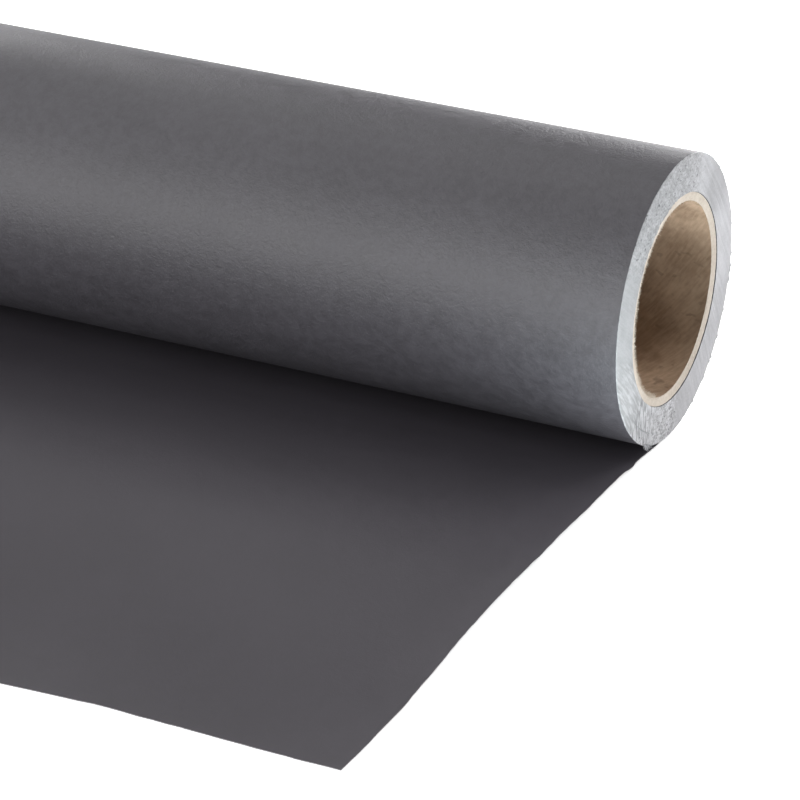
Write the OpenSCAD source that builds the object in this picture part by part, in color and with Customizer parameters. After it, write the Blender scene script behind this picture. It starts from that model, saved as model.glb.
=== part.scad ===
// Roll of backdrop paper on a spiral-wound board core, with its free end drawn out flat in front.
// X runs along the roll and Z is up. The origin is on the axis of the core, halfway along the roll.
// The paper leaves the underside of the roll towards -Y. All sizes are in millimetres.

/* [Roll] */
// Width of the paper, which is the length of the roll and of its core
roll_w = 1350; // [600:10:2720]
// Outside diameter of the paper on the roll
roll_d = 85; // [72:0.5:120]
// Thickness of one sheet of the paper
paper_t = 0.2; // [0.15:0.01:0.3]

/* [Core] */
// Inside diameter of the board core
bore_d = 57; // [50:0.5:60]
// Thickness of one ply of core board
ply_t = 0.48; // [0.3:0.02:0.6]
// Thickness of the glue film between two plies
glue_t = 0.025; // [0.02:0.005:0.05]

/* [Start tape] */
// Thickness of the tape that holds the inner end of the paper to the core
tape_t = 0.06; // [0.04:0.01:0.12]
// Width of the tape round the core
tape_w = 25; // [10:1:50]
// Length of bare core beyond each end of the tape
tape_margin = 15; // [0:1:100]

/* [Drawn-out paper] */
// Length of paper that lies in front of the roll
free_len = 210; // [120:5:500]
// Length of the leading stretch at the free end
lead_len = 25; // [10:1:60]
// Length of paper under the roll that stays where it is when more is drawn out
foot_len = 10; // [5:1:30]

/* [Last turn] */
// Furthest that the last turn stands off the roll behind it
slack = 0.25; // [0.1:0.05:1]
// Angle that the last turn covers, from underneath the roll up its back
wrap_angle = 60; // [30:3:75]

/* [Hidden] */
$fn = 96;

// Clearance between pieces that lie on each other in the roll
fit_gap = 0.02;
// Clearance between the turning roll and the paper that stays still under it
run_gap = 0.1;
// Gap between two stretches of the drawn-out paper, which are one sheet on the real roll
join_gap = 0.02;
// Step round the last turn
wrap_step = 3;

bore_r = bore_d / 2;
ply_pitch = ply_t + glue_t;
core_r = bore_r + 5 * ply_t + 4 * glue_t;
tape_r = core_r + fit_gap;
tape_angle = tape_w / core_r * 180 / PI;
tape_steps = 16;
paper_in_r = tape_r + tape_t + fit_gap;
paper_out_r = roll_d / 2 - run_gap;
wrap_r = roll_d / 2;
floor_z = -wrap_r - paper_t;

kraft = [0.55, 0.45, 0.35];
board = [0.88, 0.82, 0.73];
tape_colour = [0.80, 0.72, 0.52];
paper_grey = [0.42, 0.42, 0.43];

// A tube along X, centred on the origin
module tube(r_out, r_in, length) {
    rotate([0, 90, 0])
        difference() {
            cylinder(h = length, r = r_out, center = true);
            cylinder(h = length + 2, r = r_in, center = true);
        }
}

// Carries a section, drawn with Y to the right and Z up, along the roll and centred on the origin
module along_roll(length) {
    rotate([90, 0, 90])
        linear_extrude(height = length, center = true)
            children();
}

// One ply of the core, counted from 0 at the bore
module ply(index) {
    r = bore_r + index * ply_pitch;
    tube(r + ply_t, r, roll_w);
}

// A flat stretch of paper on the floor, from y_near in front of the roll to y_far
module flat_paper(y_near, y_far) {
    translate([-roll_w / 2, -y_far, floor_z])
        cube([roll_w, y_far - y_near, paper_t]);
}

// Radius of the last turn's inner side at an angle behind the point under the axis:
// flat on the floor at first, then clear of the roll by the slack, and back to it at the top
function wrap_radius(angle) =
    min(wrap_r / cos(angle), wrap_r + slack * sin(180 * angle / wrap_angle));

// A point of the last turn's section, seen along X with Y to the right
function wrap_point(angle, thick) =
    (wrap_radius(angle) + thick) * [sin(angle), -cos(angle)];

// Flat stretch under the roll and the curve up the back, as one outline
module last_turn_section() {
    angles = [for (a = [0:wrap_step:wrap_angle]) a];
    outer = [for (a = angles) let (p = wrap_point(a, paper_t)) [p[0], max(p[1], floor_z)]];
    inner = [for (i = [len(angles) - 1:-1:0]) wrap_point(angles[i], 0)];
    polygon(concat([[-foot_len, floor_z]], outer, inner, [[-foot_len, -wrap_r]]));
}

module core_inner_ply() {
    color(kraft)
        ply(0);
}

module core_second_ply() {
    color(board)
        ply(1);
}

module core_middle_ply() {
    color(board)
        ply(2);
}

module core_fourth_ply() {
    color(board)
        ply(3);
}

module core_outer_ply() {
    color(board)
        ply(4);
}

// Strip of tape along the core, which holds the inner end of the paper
module start_tape() {
    angles = [for (i = [0:tape_steps]) i * tape_angle / tape_steps];
    inner = [for (a = angles) tape_r * [cos(a), sin(a)]];
    outer = [for (i = [tape_steps:-1:0]) (tape_r + tape_t) * [cos(angles[i]), sin(angles[i])]];
    color(tape_colour)
        along_roll(roll_w - 2 * tape_margin)
            polygon(concat(inner, outer));
}

// All the turns that go round with the core
module wound_paper() {
    color(paper_grey)
        tube(paper_out_r, paper_in_r, roll_w);
}

// The turn that is just leaving the roll, up its back and flat underneath it
module last_turn() {
    color(paper_grey)
        along_roll(roll_w)
            last_turn_section();
}

// The stretch that grows as paper is drawn out
module laid_sheet() {
    color(paper_grey)
        flat_paper(foot_len + join_gap, free_len - lead_len - join_gap);
}

// The free end, which is pulled
module leading_sheet() {
    color(paper_grey)
        flat_paper(free_len - lead_len, free_len);
}

core_inner_ply();
core_second_ply();
core_middle_ply();
core_fourth_ply();
core_outer_ply();
start_tape();
wound_paper();
last_turn();
laid_sheet();
leading_sheet();
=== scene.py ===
import math

import bpy
import numpy as np
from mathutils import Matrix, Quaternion, Vector


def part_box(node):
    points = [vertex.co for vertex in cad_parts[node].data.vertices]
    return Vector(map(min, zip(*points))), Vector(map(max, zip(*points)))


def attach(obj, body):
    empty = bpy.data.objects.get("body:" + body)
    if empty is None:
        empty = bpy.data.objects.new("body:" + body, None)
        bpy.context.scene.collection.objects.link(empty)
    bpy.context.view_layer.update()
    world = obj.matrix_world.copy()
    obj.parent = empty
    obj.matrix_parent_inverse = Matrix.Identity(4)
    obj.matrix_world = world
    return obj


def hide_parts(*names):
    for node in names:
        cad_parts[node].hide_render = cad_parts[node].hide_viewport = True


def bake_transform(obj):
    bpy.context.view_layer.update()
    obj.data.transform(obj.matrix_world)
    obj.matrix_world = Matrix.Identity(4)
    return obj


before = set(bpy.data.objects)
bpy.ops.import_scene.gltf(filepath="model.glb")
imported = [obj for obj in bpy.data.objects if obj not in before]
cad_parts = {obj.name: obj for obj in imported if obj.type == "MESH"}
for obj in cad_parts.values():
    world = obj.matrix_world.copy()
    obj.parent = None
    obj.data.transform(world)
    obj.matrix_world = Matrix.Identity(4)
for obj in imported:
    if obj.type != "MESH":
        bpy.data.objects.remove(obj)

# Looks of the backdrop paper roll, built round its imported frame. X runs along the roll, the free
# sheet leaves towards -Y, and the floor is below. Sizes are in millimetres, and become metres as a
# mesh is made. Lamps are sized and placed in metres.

MM = 0.001
TURN = 2 * math.pi
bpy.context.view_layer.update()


# ---------------------------------------------------------------- sizes, worked out from the frame

def node_points(node):
    """A CAD node's points, in millimetres."""
    return np.array([v.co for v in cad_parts[node].data.vertices]) / MM


def radii(node):
    """The smallest and the largest distance of a CAD node's points from the roll's axis."""
    points = node_points(node)
    away = np.hypot(points[:, 1], points[:, 2])
    return float(away.min()), float(away.max())


def corner(node, high, axis):
    """One coordinate of a CAD node's lowest or highest corner."""
    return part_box(node)[1 if high else 0][axis] / MM


END = corner("wound_paper", True, 0)                # the near end of the roll, and minus this the far one
PAPER_IN, PAPER_OUT = radii("wound_paper")
WRAP = radii("last_turn")[0]                        # radius that the last turn lies at
SHEET_TOP = corner("laid_sheet", True, 2)
SHEET_T = SHEET_TOP - corner("laid_sheet", False, 2)
FLOOR = corner("laid_sheet", False, 2)
FREE_END = -corner("leading_sheet", False, 1)       # length of the sheet in front of the axis
wrap_points = node_points("last_turn")
WRAP_ANGLE = float(np.arctan2(wrap_points[:, 1], -wrap_points[:, 2]).max())
TURN_PITCH = 0.24                                   # what one turn of the wound paper adds to the radius

PLIES = ["core_inner_ply", "core_second_ply", "core_middle_ply", "core_fourth_ply", "core_outer_ply"]


# ---------------------------------------------------------------- noise and meshes

def lattice_noise(u, v, seed, repeat=256):
    """Smooth noise from -1 to 1 over a plane, with one random value per unit of u and v. It repeats
    after that many units of u."""
    table = np.random.RandomState(seed).uniform(-1, 1, (repeat, 256))
    u0, v0 = np.floor(u).astype(int), np.floor(v).astype(int)
    fu, fv = u - u0, v - v0
    fu, fv = fu * fu * (3 - 2 * fu), fv * fv * (3 - 2 * fv)
    near = table[u0 % repeat, v0 % 256] * (1 - fu) + table[(u0 + 1) % repeat, v0 % 256] * fu
    far = table[u0 % repeat, (v0 + 1) % 256] * (1 - fu) + table[(u0 + 1) % repeat, (v0 + 1) % 256] * fu
    return near * (1 - fv) + far * fv


def ramp(value, low, high):
    """0 below low, 1 above high and a smooth step in between; low may be the larger one."""
    t = np.clip((value - low) / (high - low), 0, 1)
    return t * t * (3 - 2 * t)


def grid_faces(rows, columns, close_rows=False, close_columns=False):
    """The quads of a grid of points that are numbered row by row."""
    i = np.arange(rows if close_rows else rows - 1)[:, None]
    j = np.arange(columns if close_columns else columns - 1)[None, :]
    i1, j1 = (i + 1) % rows, (j + 1) % columns
    quads = np.stack([i * columns + j, i * columns + j1, i1 * columns + j1, i1 * columns + j], -1)
    return quads.reshape(-1, 4)


def mesh_piece(name, points, faces, materials, indices=None, sharp_deg=40):
    """A smooth-shaded mesh object from points in millimetres."""
    mesh = bpy.data.meshes.new(name)
    mesh.from_pydata((np.asarray(points, float) * MM).tolist(), [], [list(map(int, f)) for f in faces])
    for material in materials:
        mesh.materials.append(material)
    if indices is not None:
        mesh.polygons.foreach_set("material_index", np.asarray(indices, np.int32))
    mesh.validate()
    mesh.shade_smooth()
    mesh.set_sharp_from_angle(angle=math.radians(sharp_deg))
    piece = bpy.data.objects.new(name, mesh)
    bpy.context.scene.collection.objects.link(piece)
    return piece


def lathe(name, profile, steps, shape, materials, sharp_deg=40):
    """A closed ring of a closed profile round the roll's axis. Each point of the profile is
    (x, r, material index of the faces that follow). shape gives what to add to x and to r."""
    x, r = (np.array([p[k] for p in profile], float)[:, None] for k in (0, 1))
    angle = (np.arange(steps) * TURN / steps)[None, :]
    add_x, add_r = shape(x + 0 * angle, r + 0 * angle, angle + 0 * x)
    r = r + add_r
    points = np.stack([x + add_x, r * np.cos(angle), r * np.sin(angle)], -1).reshape(-1, 3)
    faces = grid_faces(len(profile), steps, True, True)[:, ::-1]
    indices = np.repeat([p[2] for p in profile], steps)
    return mesh_piece(name, points, faces, materials, indices, sharp_deg)


# ---------------------------------------------------------------- materials

class Nodes:
    """Short ways to add the nodes of one material."""

    def __init__(self, name):
        self.material = bpy.data.materials.new(name)
        self.material.use_nodes = True
        self.tree = self.material.node_tree
        self.shader = self.tree.nodes["Principled BSDF"]

    def add(self, kind, inputs=None, **settings):
        node = self.tree.nodes.new(kind)
        for key, value in settings.items():
            setattr(node, key, value)
        for key, value in (inputs or {}).items():
            self.put(node.inputs[key], value)
        return node

    def put(self, socket, value):
        if isinstance(value, bpy.types.NodeSocket):
            self.tree.links.new(value, socket)
        else:
            socket.default_value = value

    def place(self):
        """Where a point is, in metres, in the row frame."""
        return self.add("ShaderNodeTexCoord").outputs["Object"]

    def scaled(self, vector, factors):
        node = self.add("ShaderNodeMapping", {"Vector": vector, "Scale": factors})
        return node.outputs["Vector"]

    def noise(self, vector, size_mm, detail=3.0, roughness=0.55, distortion=0.0):
        """Noise from 0 to 1 whose largest grains are size_mm across."""
        node = self.add("ShaderNodeTexNoise", {
            "Vector": vector, "Scale": 1 / (size_mm * MM), "Detail": detail,
            "Roughness": roughness, "Distortion": distortion})
        return node.outputs["Fac"]

    def math(self, operation, a, b=0.0, clamp=False):
        node = self.add("ShaderNodeMath", {0: a, 1: b}, operation=operation, use_clamp=clamp)
        return node.outputs[0]

    def fit(self, value, low, high, to_low, to_high, smooth=True):
        kind = "SMOOTHSTEP" if smooth else "LINEAR"
        node = self.add("ShaderNodeMapRange", {
            "Value": value, "From Min": low, "From Max": high, "To Min": to_low, "To Max": to_high},
            interpolation_type=kind)
        return node.outputs["Result"]

    def mix(self, factor, a, b):
        node = self.add("ShaderNodeMix", {"Factor": factor}, data_type="RGBA")
        self.put(node.inputs[6], a if isinstance(a, bpy.types.NodeSocket) else (*a, 1))
        self.put(node.inputs[7], b if isinstance(b, bpy.types.NodeSocket) else (*b, 1))
        return node.outputs[2]

    def gain(self, colour, factor):
        """The colour or vector times another one, number by number."""
        node = self.add("ShaderNodeVectorMath", {0: colour, 1: factor}, operation="MULTIPLY")
        return node.outputs[0]

    def bump(self, height, distance_mm, normal=None, strength=1.0):
        inputs = {"Height": height, "Distance": distance_mm * MM, "Strength": strength}
        if normal is not None:
            inputs["Normal"] = normal
        return self.add("ShaderNodeBump", inputs).outputs["Normal"]

    def surface(self, colour, roughness, normal=None, **constants):
        self.put(self.shader.inputs["Base Color"], colour if isinstance(colour, bpy.types.NodeSocket)
                 else (*colour, 1))
        self.put(self.shader.inputs["Roughness"], roughness)
        if normal is not None:
            self.put(self.shader.inputs["Normal"], normal)
        for key, value in constants.items():
            self.shader.inputs[key.replace("_", " ")].default_value = value
        return self.material


# Zones of an end face, by angle from +Y towards +Z: middle, half width and fade, in degrees
MOTTLED_TOP = (105, 38, 14)
MOTTLED_FOOT = (-99, 12, 8)
TORN = (-124, 12, 6)
SCORED = (-151, 16, 9)
# The part of the bore's edge with the longest torn fibres
TORN_BORE = (-140, 55, 20)
# Where the first turns stand off the core, and where the saw picked at them
LOOSE_TURNS = (-42, 42, 14)
PICKED_TURNS = (118, 40, 12)
# The side of the bore that is painted darker as painted shade, where less light falls; the rest of the
# bore is painted lighter
BORE_SHADE_ZONE = (-22, 26, 34)
# The centre of the blade that sawed the end, and how far it is from the roll's axis
SAW_CENTRE = (-122, -100)
SAW_RADIUS = math.hypot(*SAW_CENTRE)

# The cut's grey at -Y and at +Y of an end face: the same paper, painted lighter towards +Y as painted
# light
CUT_SHADED_LEFT = (0.440, 0.440, 0.457)
CUT_LIT_RIGHT = (0.545, 0.543, 0.566)
CUT_PIT = (0.10, 0.105, 0.115)
# Stretches of the cut that are lighter, or darker where the last number is below 0: middle, half
# width, fade and by how much
BRIGHTER = [(8, 16, 12, 0.18), (61, 6, 6, 0.14), (-150, 8, 10, 0.08),
            (-112, 16, 10, 0.20), (40, 6, 8, -0.05)]


def tinted(colour, factor):
    return tuple(c * factor for c in colour)


PAPER = (0.0895, 0.0850, 0.0975)
LAID_PAPER = (0.0900, 0.0820, 0.0965)


def paper_material(name, paper, grain, relief_mm):
    """Dark grey uncoated paper: a very fine mottle of fibres in the tone and in the surface."""
    n = Nodes(name)
    p = n.place()
    clouds = n.noise(p, 45, 3)
    mottle = n.noise(p, 3.2, 4, 0.72)
    fibres = n.noise(n.scaled(p, (0.85, 1.0, 1.0)), 1.0, 3, 0.75, 0.3)
    tone = n.fit(clouds, 0.3, 0.7, -0.04, 0.04)
    tone = n.math("ADD", tone, n.fit(mottle, 0.3, 0.7, -grain, grain))
    tone = n.math("ADD", tone, n.fit(fibres, 0.64, 0.8, 0.0, 2 * grain))
    colour = n.mix(n.math("ADD", tone, 0.5), tinted(paper, 0.5), tinted(paper, 1.5))
    height = n.math("ADD", n.math("MULTIPLY", mottle, 0.7), fibres)
    roughness = n.fit(mottle, 0.3, 0.7, 0.41, 0.49)
    return n.surface(colour, roughness, n.bump(height, relief_mm), Specular_IOR_Level=0.8)


def end_places(n):
    """Nodes for a point on an end face: its place in millimetres, turned half round at the far end, its
    direction from the axis, and how far it is across and along the marks of the saw."""
    p = n.place()
    split = n.add("ShaderNodeSeparateXYZ", {"Vector": p}).outputs
    side = n.math("DIVIDE", n.math("SIGN", split["X"]), MM)
    place = n.add("ShaderNodeCombineXYZ", {
        "Y": n.math("MULTIPLY", split["Y"], side), "Z": n.math("MULTIPLY", split["Z"], side)}).outputs[0]
    out = n.add("ShaderNodeVectorMath", {0: place}, operation="NORMALIZE").outputs[0]
    from_saw = n.add("ShaderNodeVectorMath", {0: place, 1: (0, *SAW_CENTRE)}, operation="SUBTRACT")
    across = n.add("ShaderNodeVectorMath", {0: from_saw.outputs[0]}, operation="LENGTH").outputs["Value"]
    parts = n.add("ShaderNodeSeparateXYZ", {"Vector": from_saw.outputs[0]}).outputs
    along = n.math("MULTIPLY", n.math("ARCTAN2", parts["Z"], parts["Y"]), SAW_RADIUS)
    return place, out, across, along


def zone_node(n, out, zone):
    """1 inside a zone of an end face and 0 away from it."""
    middle, half, fade = (math.radians(v) for v in zone)
    near = n.add("ShaderNodeVectorMath", {0: out, 1: (0, math.cos(middle), math.sin(middle))},
                 operation="DOT_PRODUCT").outputs["Value"]
    return n.fit(near, math.cos(half + fade), math.cos(half - fade), 0, 1)


def streak_noise(n, across, along, size_mm, stretch, detail=2.0):
    """Noise in long streaks, size_mm wide."""
    shortened = n.math("DIVIDE", along, stretch)
    vector = n.add("ShaderNodeCombineXYZ", {"X": across, "Y": shortened}).outputs[0]
    return n.add("ShaderNodeTexNoise", {
        "Vector": vector, "Scale": 1 / size_mm, "Detail": detail, "Roughness": 0.5}).outputs["Fac"]


def grain_noise(n, place, size_mm, detail=3.0, roughness=0.6):
    """Noise whose largest grains are size_mm across, for a place that is in millimetres."""
    return n.add("ShaderNodeTexNoise", {
        "Vector": place, "Scale": 1 / size_mm, "Detail": detail, "Roughness": roughness}).outputs["Fac"]


def cut_paper_material():
    """The sawn edges of the turns: pale torn fibres, with the marks of the blade, dark specks where the
    fibres have come out, and a stretch at the bottom that tore along its fibres."""
    n = Nodes("cut_paper")
    place, out, across, along = end_places(n)
    yz = n.add("ShaderNodeSeparateXYZ", {"Vector": place}).outputs
    # Painted light: the cut is painted lighter towards +Y, where more light falls on the end face
    painted_light_to_right = n.fit(yz["Y"], -20, 30, 0, 1)
    base = n.mix(painted_light_to_right, CUT_SHADED_LEFT, CUT_LIT_RIGHT)

    clouds = grain_noise(n, place, 9.0, 2)
    marks = streak_noise(n, across, along, 1.3, 16)
    fine_marks = streak_noise(n, across, along, 0.4, 12)
    tone = n.fit(clouds, 0.3, 0.7, -0.04, 0.04)
    tone = n.math("ADD", tone, n.fit(marks, 0.35, 0.65, -0.05, 0.05))
    tone = n.math("ADD", tone, n.fit(fine_marks, 0.35, 0.65, -0.03, 0.03))

    scored = zone_node(n, out, SCORED)
    score = n.fit(streak_noise(n, across, along, 0.9, 9), 0.42, 0.62, -0.12, 0.22)
    tone = n.math("ADD", tone, n.math("MULTIPLY", scored, score))

    torn = zone_node(n, out, TORN)
    tear = n.fit(streak_noise(n, yz["Y"], yz["Z"], 0.7, 7), 0.40, 0.60, -0.36, 0.36)
    tone = n.math("ADD", tone, n.math("MULTIPLY", torn, tear))

    scratches = n.fit(streak_noise(n, across, along, 0.8, 30, 1), 0.68, 0.74, 0, 0.16)
    tone = n.math("ADD", tone, scratches)
    for middle, half, fade, share in BRIGHTER:
        tone = n.math("ADD", tone, n.math("MULTIPLY", zone_node(n, out, (middle, half, fade)), share))

    wide = n.scaled(place, (1.0, 0.55, 1.0))
    grain = grain_noise(n, wide, 0.62, 3, 0.7)
    mottled = n.math("MAXIMUM", zone_node(n, out, MOTTLED_TOP), zone_node(n, out, MOTTLED_FOOT))
    clumps = grain_noise(n, wide, 2.2, 3, 0.6)
    foot = n.math("ADD", zone_node(n, out, MOTTLED_FOOT), 1.0)
    speckle = n.math("ADD", n.fit(grain, 0.38, 0.62, -0.12, 0.12), n.fit(clumps, 0.38, 0.62, -0.10, 0.12))
    tone = n.math("ADD", tone, n.math("MULTIPLY", n.math("MULTIPLY", mottled, foot), speckle))
    tone = n.math("ADD", tone, n.fit(grain, 0.38, 0.62, -0.04, 0.04))
    ragged = n.math("MAXIMUM", mottled, n.math("MULTIPLY", torn, 0.7))
    everywhere = n.math("ADD", n.math("MULTIPLY", ragged, 0.9), 0.1)
    pits = n.fit(grain_noise(n, wide, 1.0, 3, 0.6), 0.61, 0.67, 0, 1)
    pits = n.math("MULTIPLY", pits, everywhere)

    colour = n.mix(n.math("ADD", tone, 0.5, True), (0.5, 0.5, 0.5), (1.5, 1.5, 1.5))
    colour = n.gain(base, colour)
    colour = n.mix(n.math("MULTIPLY", pits, 0.8), colour, CUT_PIT)
    height = n.math("MULTIPLY", grain, n.math("ADD", ragged, 0.25))
    height = n.math("ADD", height, n.math("MULTIPLY", fine_marks, 0.5))
    height = n.math("SUBTRACT", height, pits)
    normal = n.bump(height, 0.12)
    return n.surface(colour, n.fit(grain, 0.3, 0.7, 0.75, 0.95), normal, Specular_IOR_Level=0.25)


def board_material(name, light, dark):
    """Sawn core board or paper tape: a soft mottle of fibres."""
    n = Nodes(name)
    p = n.place()
    mottle = n.noise(p, 0.9, 4, 0.65)
    clouds = n.noise(p, 7, 3)
    share = n.math("ADD", n.fit(mottle, 0.3, 0.7, 0, 0.6), n.fit(clouds, 0.3, 0.7, 0, 0.4))
    colour = n.mix(share, dark, light)
    normal = n.bump(mottle, 0.06)
    return n.surface(colour, n.fit(mottle, 0.3, 0.7, 0.8, 0.95), normal, Specular_IOR_Level=0.3)


WIND_LEAD = 120                    # length per turn of the core's spiral winding
BORE_R = radii("core_inner_ply")[0]
KRAFT_LIGHT = (0.57, 0.43, 0.315)
KRAFT_DARK = (0.32, 0.225, 0.155)


def kraft_material():
    """The brown liner of the bore: fibres that run with the spiral winding, and a few dark smudges."""
    n = Nodes("kraft_liner")
    p = n.place()
    split = n.add("ShaderNodeSeparateXYZ", {"Vector": p}).outputs
    angle = n.math("ARCTAN2", split["Z"], split["Y"])
    round_ = n.math("MULTIPLY", angle, BORE_R)
    x = n.math("DIVIDE", split["X"], MM)
    slope = TURN * BORE_R / WIND_LEAD
    across = n.math("SUBTRACT", n.math("MULTIPLY", x, slope), round_)
    along = n.math("ADD", n.math("MULTIPLY", round_, slope), x)
    streaks = streak_noise(n, across, along, 1.6, 6, 3)
    clouds = grain_noise(n, n.gain(p, (1 / MM,) * 3), 11, 3)
    mottle = n.noise(p, 1.1, 4, 0.65)
    share = n.math("ADD", n.fit(clouds, 0.36, 0.64, 0, 0.55), n.fit(streaks, 0.36, 0.64, 0, 0.3))
    share = n.math("ADD", share, n.fit(mottle, 0.3, 0.7, 0, 0.15))
    colour = n.mix(share, KRAFT_DARK, KRAFT_LIGHT)
    # Painted shade: one side of the bore is darkened and the rest brightened, for how the light falls
    # into it
    painted_bore_shade = zone_node(n, end_places(n)[1], BORE_SHADE_ZONE)
    colour = n.gain(colour, n.mix(painted_bore_shade, (1.22, 1.22, 1.22), (0.74, 0.72, 0.70)))
    smudge = n.fit(n.noise(n.scaled(p, (1.0, 1.0, 2.2)), 5, 2, 0.5), 0.64, 0.72, 0, 0.35)
    colour = n.mix(smudge, colour, tinted(KRAFT_DARK, 0.35))
    height = n.math("ADD", mottle, n.math("MULTIPLY", streaks, 0.7))
    roughness = n.fit(mottle, 0.3, 0.7, 0.75, 0.95)
    return n.surface(colour, roughness, n.bump(height, 0.07), Specular_IOR_Level=0.3)


grey_paper = paper_material("grey_paper", PAPER, 0.16, 0.20)
laid_paper = paper_material("laid_paper", LAID_PAPER, 0.07, 0.04)
cut_paper = cut_paper_material()
kraft = kraft_material()
cream_board = board_material("cut_board", (0.82, 0.74, 0.655), (0.66, 0.575, 0.49))
tape_paper = board_material("tape_paper", (0.60, 0.48, 0.25), (0.50, 0.40, 0.22))


# ---------------------------------------------------------------- the wound paper

def end_rows(x, r_from, r_to, count, material):
    """Rows of an end face from one radius to another, the last one left out."""
    return [(x, r, material) for r in np.linspace(r_from, r_to, count, endpoint=False)]


def lengthwise(half):
    """Places along the roll, from one end to the other, closest together near the ends."""
    from_end = np.array([0, 0.3, 0.8, 1.6, 3, 5, 8, 13, 20, 32, 50, 75, 110, 160, 230, 320, 430, 560])
    return np.concatenate([from_end - half, (half - from_end)[::-1]])


def zone(angle, where):
    """1 inside a zone of an end face and 0 away from it."""
    middle, half, fade = (math.radians(v) for v in where)
    return ramp(np.cos(angle - middle), math.cos(half + fade), math.cos(half - fade))


def facing(x, angle):
    """Which end a point is nearer to, its angle as seen at that end, and whether it is on its face."""
    side = np.sign(x)
    turned = angle + np.where(side < 0, math.pi, 0)
    return side, turned, np.abs(x) > END - 0.01


def end_relief(r, angle):
    """How far an end face of the wound paper stands out, where it was sawn through."""
    y, z = r * np.cos(angle), r * np.sin(angle)
    across = np.hypot(y - SAW_CENTRE[0], z - SAW_CENTRE[1])
    along = np.arctan2(z - SAW_CENTRE[1], y - SAW_CENTRE[0]) * SAW_RADIUS
    relief = 0.030 * lattice_noise(across / 1.3, along / 16, 11)
    relief += 0.020 * lattice_noise(across / 0.6, along / 9, 12)
    relief += zone(angle, SCORED) * 0.07 * lattice_noise(across / 0.9, along / 8, 13)
    relief += zone(angle, TORN) * 0.13 * lattice_noise(y / 0.7, z / 6, 14)
    mottled = np.maximum(zone(angle, MOTTLED_TOP), zone(angle, MOTTLED_FOOT))
    coarse = 0.05 * lattice_noise(y / 1.4, z / 1.4, 16)
    relief += mottled * (0.07 * lattice_noise(y / 0.55, z / 0.55, 15) + coarse)
    turn = np.round((r - PAPER_IN) / (TURN_PITCH / 2))
    relief += 0.018 * np.where(turn % 2 == 0, -1, lattice_noise(turn * 7.3, angle * 3, 17))
    return relief


def burrs(angle, count, low_deg, high_deg, height, width_mm, seed):
    """Small bumps of torn paper round the rim, scattered between two angles."""
    draw = np.random.RandomState(seed)
    total = 0 * angle
    for _ in range(count):
        middle = math.radians(draw.uniform(low_deg, high_deg))
        off = (angle - middle + math.pi) % TURN - math.pi
        width = width_mm * draw.uniform(0.6, 1.5) / PAPER_OUT
        total = np.maximum(total, height * draw.uniform(0.3, 1) * np.exp(-(off / width) ** 2))
    return total


def wound_paper():
    """The wound paper: a smooth side and two sawn ends, the near one with a row for each half turn."""
    rim = 0.12                     # how far in from the side the end face's last row is
    turns = round((PAPER_OUT - PAPER_IN) / TURN_PITCH)
    along = lengthwise(END - rim)
    profile = end_rows(END, PAPER_IN, PAPER_OUT - rim, 2 * turns, 1)
    profile += [(END, PAPER_OUT - rim, 1)]
    profile += [(x, PAPER_OUT, 0) for x in along[::-1]]
    profile += end_rows(-END, PAPER_OUT - rim, PAPER_IN, turns // 2, 1)
    profile += [(-END, PAPER_IN, 0), (0, PAPER_IN, 0)]

    def shape(x, r, angle):
        side, turned, on_end = facing(x, angle)
        near_rim = ramp(np.abs(x), END - 2, END) * ramp(r, PAPER_OUT - 0.5, PAPER_OUT - 0.1)
        add_x = side * on_end * end_relief(r, turned)
        add_x -= side * near_rim * (0.05 + 0.05 * lattice_noise(angle * PAPER_OUT / 0.9, 0 * r, 21, 296))
        on_rim = on_end * ramp(r, PAPER_OUT - 0.45, PAPER_OUT - 0.15)
        coarse = burrs(turned, 20, -95, 75, 0.45, 0.45, 23)
        fine = burrs(turned, 40, 75, 265, 0.15, 0.4, 24)
        add_x += side * on_rim * np.maximum(coarse, fine)
        add_r = near_rim * 0.025 * lattice_noise(angle * PAPER_OUT / 0.8, 0 * r, 22, 333)
        on_side = (1 - near_rim) * ramp(r, PAPER_OUT - 0.02, PAPER_OUT)
        add_r += on_side * 0.010 * lattice_noise(angle * 12 / TURN, x / 90, 25, 12)
        loose = zone(turned, LOOSE_TURNS) * (0.06 + 0.05 * lattice_noise(turned * 20, 0 * r, 26))
        flakes = ramp(lattice_noise(turned * PAPER_IN / 0.9, 0 * r, 27), 0.15, 0.6)
        picked = zone(turned, PICKED_TURNS) * 0.32 * flakes
        add_r += on_end * (loose + picked) * ramp(r, PAPER_IN + 0.9, PAPER_IN)
        return add_x, add_r

    return lathe("paper_roll", profile, 600, shape, [grey_paper, cut_paper], 30)


paper_roll = wound_paper()
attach(paper_roll, "roll")
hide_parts("wound_paper")


# ---------------------------------------------------------------- the drawn-out sheet

# How much further the free edge was cut, at distances from the near end of the roll: it was cut by hand
FRONT_CUT = [
    (0, 0.6), (8, 0.9), (25, 0.9), (69, 0.3), (97, 2.3), (160, 3.2), (300, 1.2),
    (430, 2.6), (610, 0.6), (800, 2.4), (990, 1.0), (1180, 2.8), (1350, 0.6)
]
FEATHER = math.radians(9)          # the last turn thins out over this angle, where the roll goes on
EDGE_BAND = 15                     # width that follows the uneven side edges


def sheet_rows():
    """The sheet's rows, from the top of the last turn to the free end: the angle behind the point under
    the axis, 0 on the flat, and the distance in front of the axis, 0 on the turn."""
    turn = [(a, 0.0) for a in np.linspace(WRAP_ANGLE, 0, 44)]
    flat = [(0.0, d) for d in np.linspace(0, FREE_END, 112)[1:]]
    return np.array(turn + flat)


def lift(x, ahead):
    """How far the sheet stands off the floor: an arch where it leaves the roll, and slight waves."""
    from_end = END - np.abs(x)
    arch = ramp(ahead, 3, 36) * ramp(ahead, 175, 95) * (0.55 + 0.75 * ramp(from_end, 260, 0))
    height = 0.35 + 0.35 * lattice_noise(x / 95, ahead / 70, 31)
    waves = ramp(ahead, 20, 80) * ramp(ahead, FREE_END, 120) * height
    return arch + waves + 0.05


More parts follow.
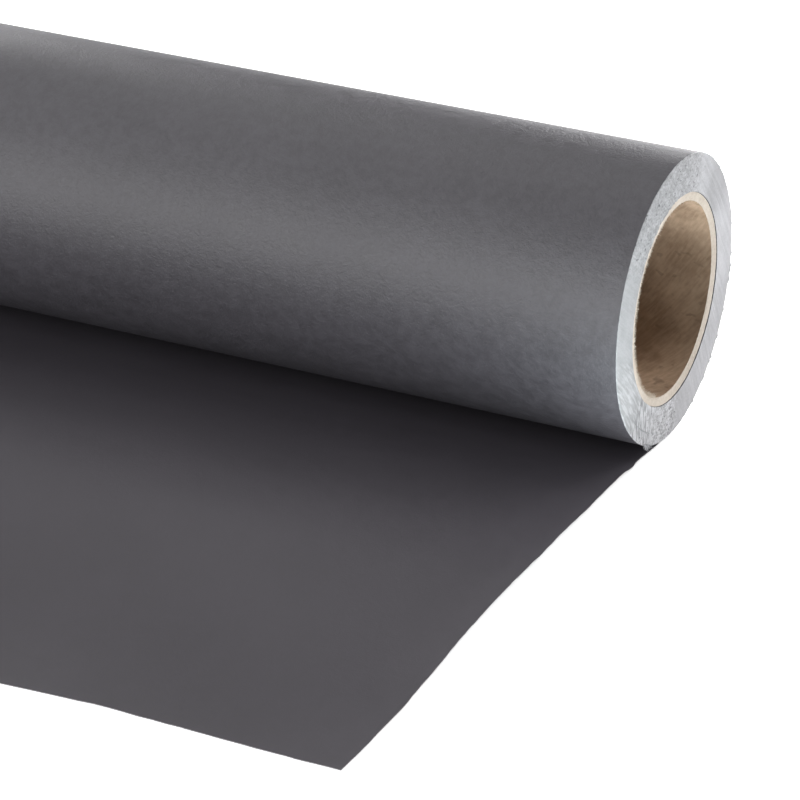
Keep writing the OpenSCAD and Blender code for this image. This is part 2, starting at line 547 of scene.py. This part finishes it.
def drawn_sheet():
    """The last turn and the sheet in front of the roll, as one closed sheet of paper."""
    rows = sheet_rows()
    spots = np.linspace(-1, 1, 221)
    x = np.sign(spots) * END * (1 - (1 - np.abs(spots)) ** 1.45)
    behind, ahead = (rows[:, k][:, None] + 0 * x[None, :] for k in (0, 1))
    xx = x[None, :] + 0 * ahead
    count, columns = xx.shape

    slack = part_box("last_turn")[1].y / MM / math.sin(WRAP_ANGLE) - WRAP - SHEET_T
    share = behind / WRAP_ANGLE
    r = WRAP + max(slack, 0) * share
    r -= 0.03 * ramp(behind, WRAP_ANGLE - FEATHER, WRAP_ANGLE)
    r = np.minimum(r, WRAP / np.cos(behind))
    thick = SHEET_T * (1 - 0.8 * ramp(behind, WRAP_ANGLE - FEATHER, WRAP_ANGLE))

    extra = np.interp(END - x, *zip(*FRONT_CUT))
    extra = (extra + 0.12 * lattice_noise(x / 2.5, 0 * x, 33))[None, :]
    y = r * np.sin(behind) - ahead - extra * ramp(ahead, FREE_END - 60, FREE_END)
    z = -r * np.cos(behind) + lift(xx, ahead)

    side = np.sign(xx)
    path = ahead - behind * WRAP
    at_edge = ramp(np.abs(xx), END - EDGE_BAND, END)
    ragged = 0.10 * lattice_noise(path / 3.1, side * 9, 34)
    ragged += 0.12 * lattice_noise(path / 11, side * 5, 35)
    # The sheet lies a little askew. Next to the roll its edges stay behind the roll's ends, because
    # the tuft of torn paper on each rim comes past them as the roll turns.
    late = 49 * ramp(xx, END, -END)
    drift = 2.6 * ramp(path, 118, 192) - 1.0 * ramp(path, late - 35, late + 45)
    near_side = side > 0
    set_back = 0.32 * ramp(path, np.where(near_side, 0, 34), np.where(near_side, -20, 14))
    nick = 0.55 * ramp(ahead, 22, 26) * ramp(ahead, 33, 26)
    xx = xx + drift + side * at_edge * (ragged - set_back) + np.where(near_side, at_edge * nick, 0)

    top = np.stack([xx, y, z], -1)
    into = np.stack([0 * xx, np.sin(behind), -np.cos(behind)], -1) * thick[..., None]
    points = np.concatenate([top.reshape(-1, 3), (top + into).reshape(-1, 3)])
    upper = grid_faces(count, columns)[:, ::-1]
    under = grid_faces(count, columns) + count * columns
    border = list(range(columns))
    border += [i * columns + columns - 1 for i in range(1, count)]
    border += [(count - 1) * columns + j for j in range(columns - 2, -1, -1)]
    border += [i * columns for i in range(count - 2, 0, -1)]
    border = np.array(border)
    after = np.roll(border, -1)
    sides = np.stack([border, after, after + count * columns, border + count * columns], 1)
    faces = np.concatenate([upper, under, sides])
    indices = [0] * (2 * len(upper)) + [1] * len(sides)
    return mesh_piece("paper_sheet", points, faces, [laid_paper, cut_paper], indices)


paper_sheet = drawn_sheet()
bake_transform(paper_sheet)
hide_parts("last_turn", "laid_sheet", "leading_sheet")


# ---------------------------------------------------------------- the core

CORE_OUT = radii("core_outer_ply")[1]
CORE_SUNK = 0.26                   # how far the core's end lies behind the paper's at its outside
CORE_BEVEL = 0.50                  # and how much further at the bore


def ply_piece(node, index):
    """One ply of the core, with its sawn ends."""
    r_in, r_out = radii(node)
    along = lengthwise(END)
    profile = end_rows(END, r_in, r_out, 4, 1)
    profile += [(x, r_out, 0) for x in along[::-1]]
    profile += end_rows(-END, r_out, r_in, 4, 1)[1:]
    profile += [(x, r_in, 0) for x in along[:-1]]

    def shape(x, r, angle):
        side, turned, on_end = facing(x, angle)
        place = (r * np.cos(turned) / 0.6, r * np.sin(turned) / 0.6)
        rough = 0.05 * lattice_noise(*place, 41 + index)
        rough += 0.04 * lattice_noise(turned * 9, side + r, 51 + index)
        sunk = CORE_SUNK + CORE_BEVEL * (CORE_OUT - r) / (CORE_OUT - BORE_R)
        add_x = side * (on_end * rough - sunk * np.clip(1 - (END - np.abs(x)) / 10, 0, 1))
        torn = 0.04 + 0.14 * zone(turned, TORN_BORE)
        edge = on_end * ramp(r, r_in + 0.2, r_in) * (index == 0)
        add_r = -edge * torn * np.abs(lattice_noise(turned * r_in / 0.45, 0 * r, 61))
        waves = 0.012 * lattice_noise(turned * 40 / TURN, x / 14, 71 + index, 40)
        add_r += waves * (1 - on_end) * (index == 0)
        return add_x, add_r

    materials = [kraft if index == 0 else cream_board, cream_board]
    piece = lathe(node.replace("_ply", "_board"), profile, 480, shape, materials)
    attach(piece, "roll")
    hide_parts(node)
    return piece


for ply_index, ply_node in enumerate(PLIES):
    ply_piece(ply_node, ply_index)


def fibres(name, tufts, material, seed, sunk):
    """Torn fibres as one mesh, rooted a little behind the roll's ends. Each tuft is (count, middle angle,
    spread, radius, length, thickness, inward share, outward share)."""
    draw = np.random.RandomState(seed)
    points, faces = [], []
    sides, rings = 3, 5
    for side in (1, -1):
        for count, middle, spread, radius, length, thick, inward, outward in tufts:
            for _ in range(count):
                angle = math.radians(middle + draw.normal(0, spread / 2)) + (math.pi if side < 0 else 0)
                out = np.array([0, math.cos(angle), math.sin(angle)])
                round_ = np.array([0, -math.sin(angle), math.cos(angle)])
                start = out * (radius + draw.uniform(0, 0.25)) + np.array([side * (END - sunk), 0, 0])
                aim = -out * inward + np.array([side * outward, 0, 0])
                aim = aim + round_ * draw.normal(0, 0.45) + draw.normal(0, 0.25, 3)
                aim[0] = side * abs(aim[0])
                aim /= np.linalg.norm(aim)
                bend = np.cross(aim, draw.normal(0, 1, 3)) * draw.uniform(0.1, 0.6)
                bend[0] = side * abs(bend[0])
                size = length * draw.uniform(0.35, 1.0)
                first = np.cross(aim, out + 0.3)
                first /= np.linalg.norm(first)
                second = np.cross(aim, first)
                base = len(points)
                for i in range(rings):
                    t = i / (rings - 1)
                    centre = start + (aim * t + bend * t * t) * size
                    width = thick / 2 * (1 - 0.85 * t) * draw.uniform(0.8, 1.2)
                    for k in range(sides):
                        a = k * TURN / sides
                        points.append(centre + (first * math.cos(a) + second * math.sin(a)) * width)
                for i in range(rings - 1):
                    for k in range(sides):
                        here, there = base + i * sides, base + (i + 1) * sides
                        k1 = (k + 1) % sides
                        faces.append((here + k, here + k1, there + k1, there + k))
                faces.append(tuple(base + k for k in reversed(range(sides))))
                faces.append(tuple(base + (rings - 1) * sides + k for k in range(sides)))
    piece = mesh_piece(name, points, faces, [material], sharp_deg=80)
    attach(piece, "roll")
    return piece


core_fibres = fibres("core_fibres", [
    (420, -165, 56, BORE_R, 0.8, 0.16, 1.0, 0.6),
    (120, -140, 20, BORE_R, 1.2, 0.15, 1.0, 0.5),
    (80, -121, 8, BORE_R, 1.7, 0.16, 1.0, 0.4),
    (260, 140, 50, BORE_R, 0.6, 0.15, 1.0, 0.6),
    (90, -90, 36, BORE_R, 0.6, 0.12, 1.0, 0.4),
    (120, 40, 90, BORE_R, 0.35, 0.10, 1.0, 0.4),
], cream_board, 81, CORE_SUNK + CORE_BEVEL)

rim_fibres = fibres("rim_fibres", [
    (70, -115, 4.5, PAPER_OUT - 0.5, 1.7, 0.26, -1.0, 0.25),
    (90, -124, 16, PAPER_OUT - 4, 0.9, 0.10, -0.6, 0.5),
    (50, -98, 14, PAPER_OUT - 3, 0.5, 0.10, -0.5, 0.8),
], cut_paper, 82, -0.1)

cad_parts["start_tape"].data.materials.clear()
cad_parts["start_tape"].data.materials.append(tape_paper)


# ---------------------------------------------------------------- floor, camera and light

def floor():
    """A plain pale floor just under the sheet."""
    n = Nodes("pale_floor")
    n.surface((0.9, 0.9, 0.9), 0.9, None, Specular_IOR_Level=0.1)
    n.shader.inputs["Emission Color"].default_value = (1, 1, 1, 1)
    n.shader.inputs["Emission Strength"].default_value = 0.70
    wide, deep, steps = 1250, 900, 96
    angles = np.arange(steps) * TURN / steps
    points = [(wide * math.cos(a), deep * math.sin(a), FLOOR - 0.05) for a in angles]
    piece = mesh_piece("floor", points, [range(steps)], [n.material])


def direction(azimuth, elevation):
    """From the object towards something round it: azimuth 0 is in front, at -Y, and 90 at +X."""
    a, e = math.radians(azimuth), math.radians(elevation)
    return Vector((math.sin(a) * math.cos(e), -math.cos(a) * math.cos(e), math.sin(e)))


CAMERA_AIM = (END - 65.9, -42.6, -28.0)
CAMERA_AZIMUTH, CAMERA_ELEVATION = 26.05, 25.19
CAMERA_DISTANCE = 1069.2
CAMERA_LENS = 169.1
CAMERA_TILT = 0.645                # degrees round the line of sight


def camera():
    """The camera, and the point that it looks at."""
    aim = Vector(CAMERA_AIM) * MM
    towards = direction(CAMERA_AZIMUTH, CAMERA_ELEVATION)
    data = bpy.data.cameras.new("camera")
    data.sensor_width = 36
    data.lens = CAMERA_LENS
    cam = bpy.data.objects.new("camera", data)
    cam.location = aim + towards * CAMERA_DISTANCE * MM
    cam.rotation_mode = "QUATERNION"
    tilt = Quaternion((0, 0, 1), math.radians(CAMERA_TILT))
    cam.rotation_quaternion = (-towards).to_track_quat("-Z", "Y") @ tilt
    bpy.context.scene.collection.objects.link(cam)
    bpy.context.scene.camera = cam
    return aim


def lamp(name, place, towards, width, height, watts, tint=(1, 1, 1)):
    """A rectangular light that shines one way and isn't seen itself. Sizes are in metres."""
    data = bpy.data.lights.new(name, "AREA")
    data.shape = "RECTANGLE"
    data.size = width
    data.size_y = height
    data.energy = watts
    data.color = tint
    light = bpy.data.objects.new(name, data)
    light.location = place
    light.rotation_mode = "QUATERNION"
    light.rotation_quaternion = towards.to_track_quat("-Z", "Y")
    light.visible_camera = False
    bpy.context.scene.collection.objects.link(light)
    return light


def softbox(name, aim, azimuth, elevation, watts, distance=2.0, size=0.8):
    """A square lamp that shines at a point from some way off."""
    towards = direction(azimuth, elevation)
    return lamp(name, aim + towards * distance, -towards, size, size, watts)


def pale_room():
    """A white surround that lights nothing, for what shows past the floor's far edge."""
    world = bpy.data.worlds.new("pale_room")
    bpy.context.scene.world = world
    world.use_nodes = True
    world.node_tree.nodes["Background"].inputs["Color"].default_value = (1, 1, 1, 1)
    world.node_tree.nodes["Background"].inputs["Strength"].default_value = 1
    for kind in ("diffuse", "glossy", "transmission", "scatter"):
        setattr(world.cycles_visibility, kind, False)


floor()
aim = camera()
pale_room()
near_end = Vector((END - 30, 0, 0)) * MM
softbox("front_strip_left", aim, -35, 8, 7.0)
softbox("front_strip_right", aim, -10, 8, 5.7)
softbox("front_key", aim, -25, 28, 6.1)
softbox("front_key_side", aim, -55, 28, 1.3)
softbox("top_front", aim, -40, 50, 3.9)
softbox("top_left", aim, -90, 50, 3.9)
softbox("top_back", aim, -120, 70, 3.0)
softbox("back_left", aim, -140, 50, 3.6)
softbox("back_right", aim, 140, 50, 3.7)
softbox("rim_left", aim, -130, 8, 24)
softbox("rim_back", aim, 180, 8, 46)
end_top = softbox("end_top", near_end, 135, 48, 1.6, 0.9, 0.5)
end_top.visible_glossy = False
softbox("end_side", near_end, 120, 20, 1.1, 0.9, 0.5)
card = Vector((END + 42, -110, FLOOR + 0.4)) * MM
lamp("card", card, Vector((0, 0, 1)), 0.075, 0.1, 0.16, (0.86, 1.0, 1.0))

bpy.context.scene.view_settings.view_transform = "Standard"
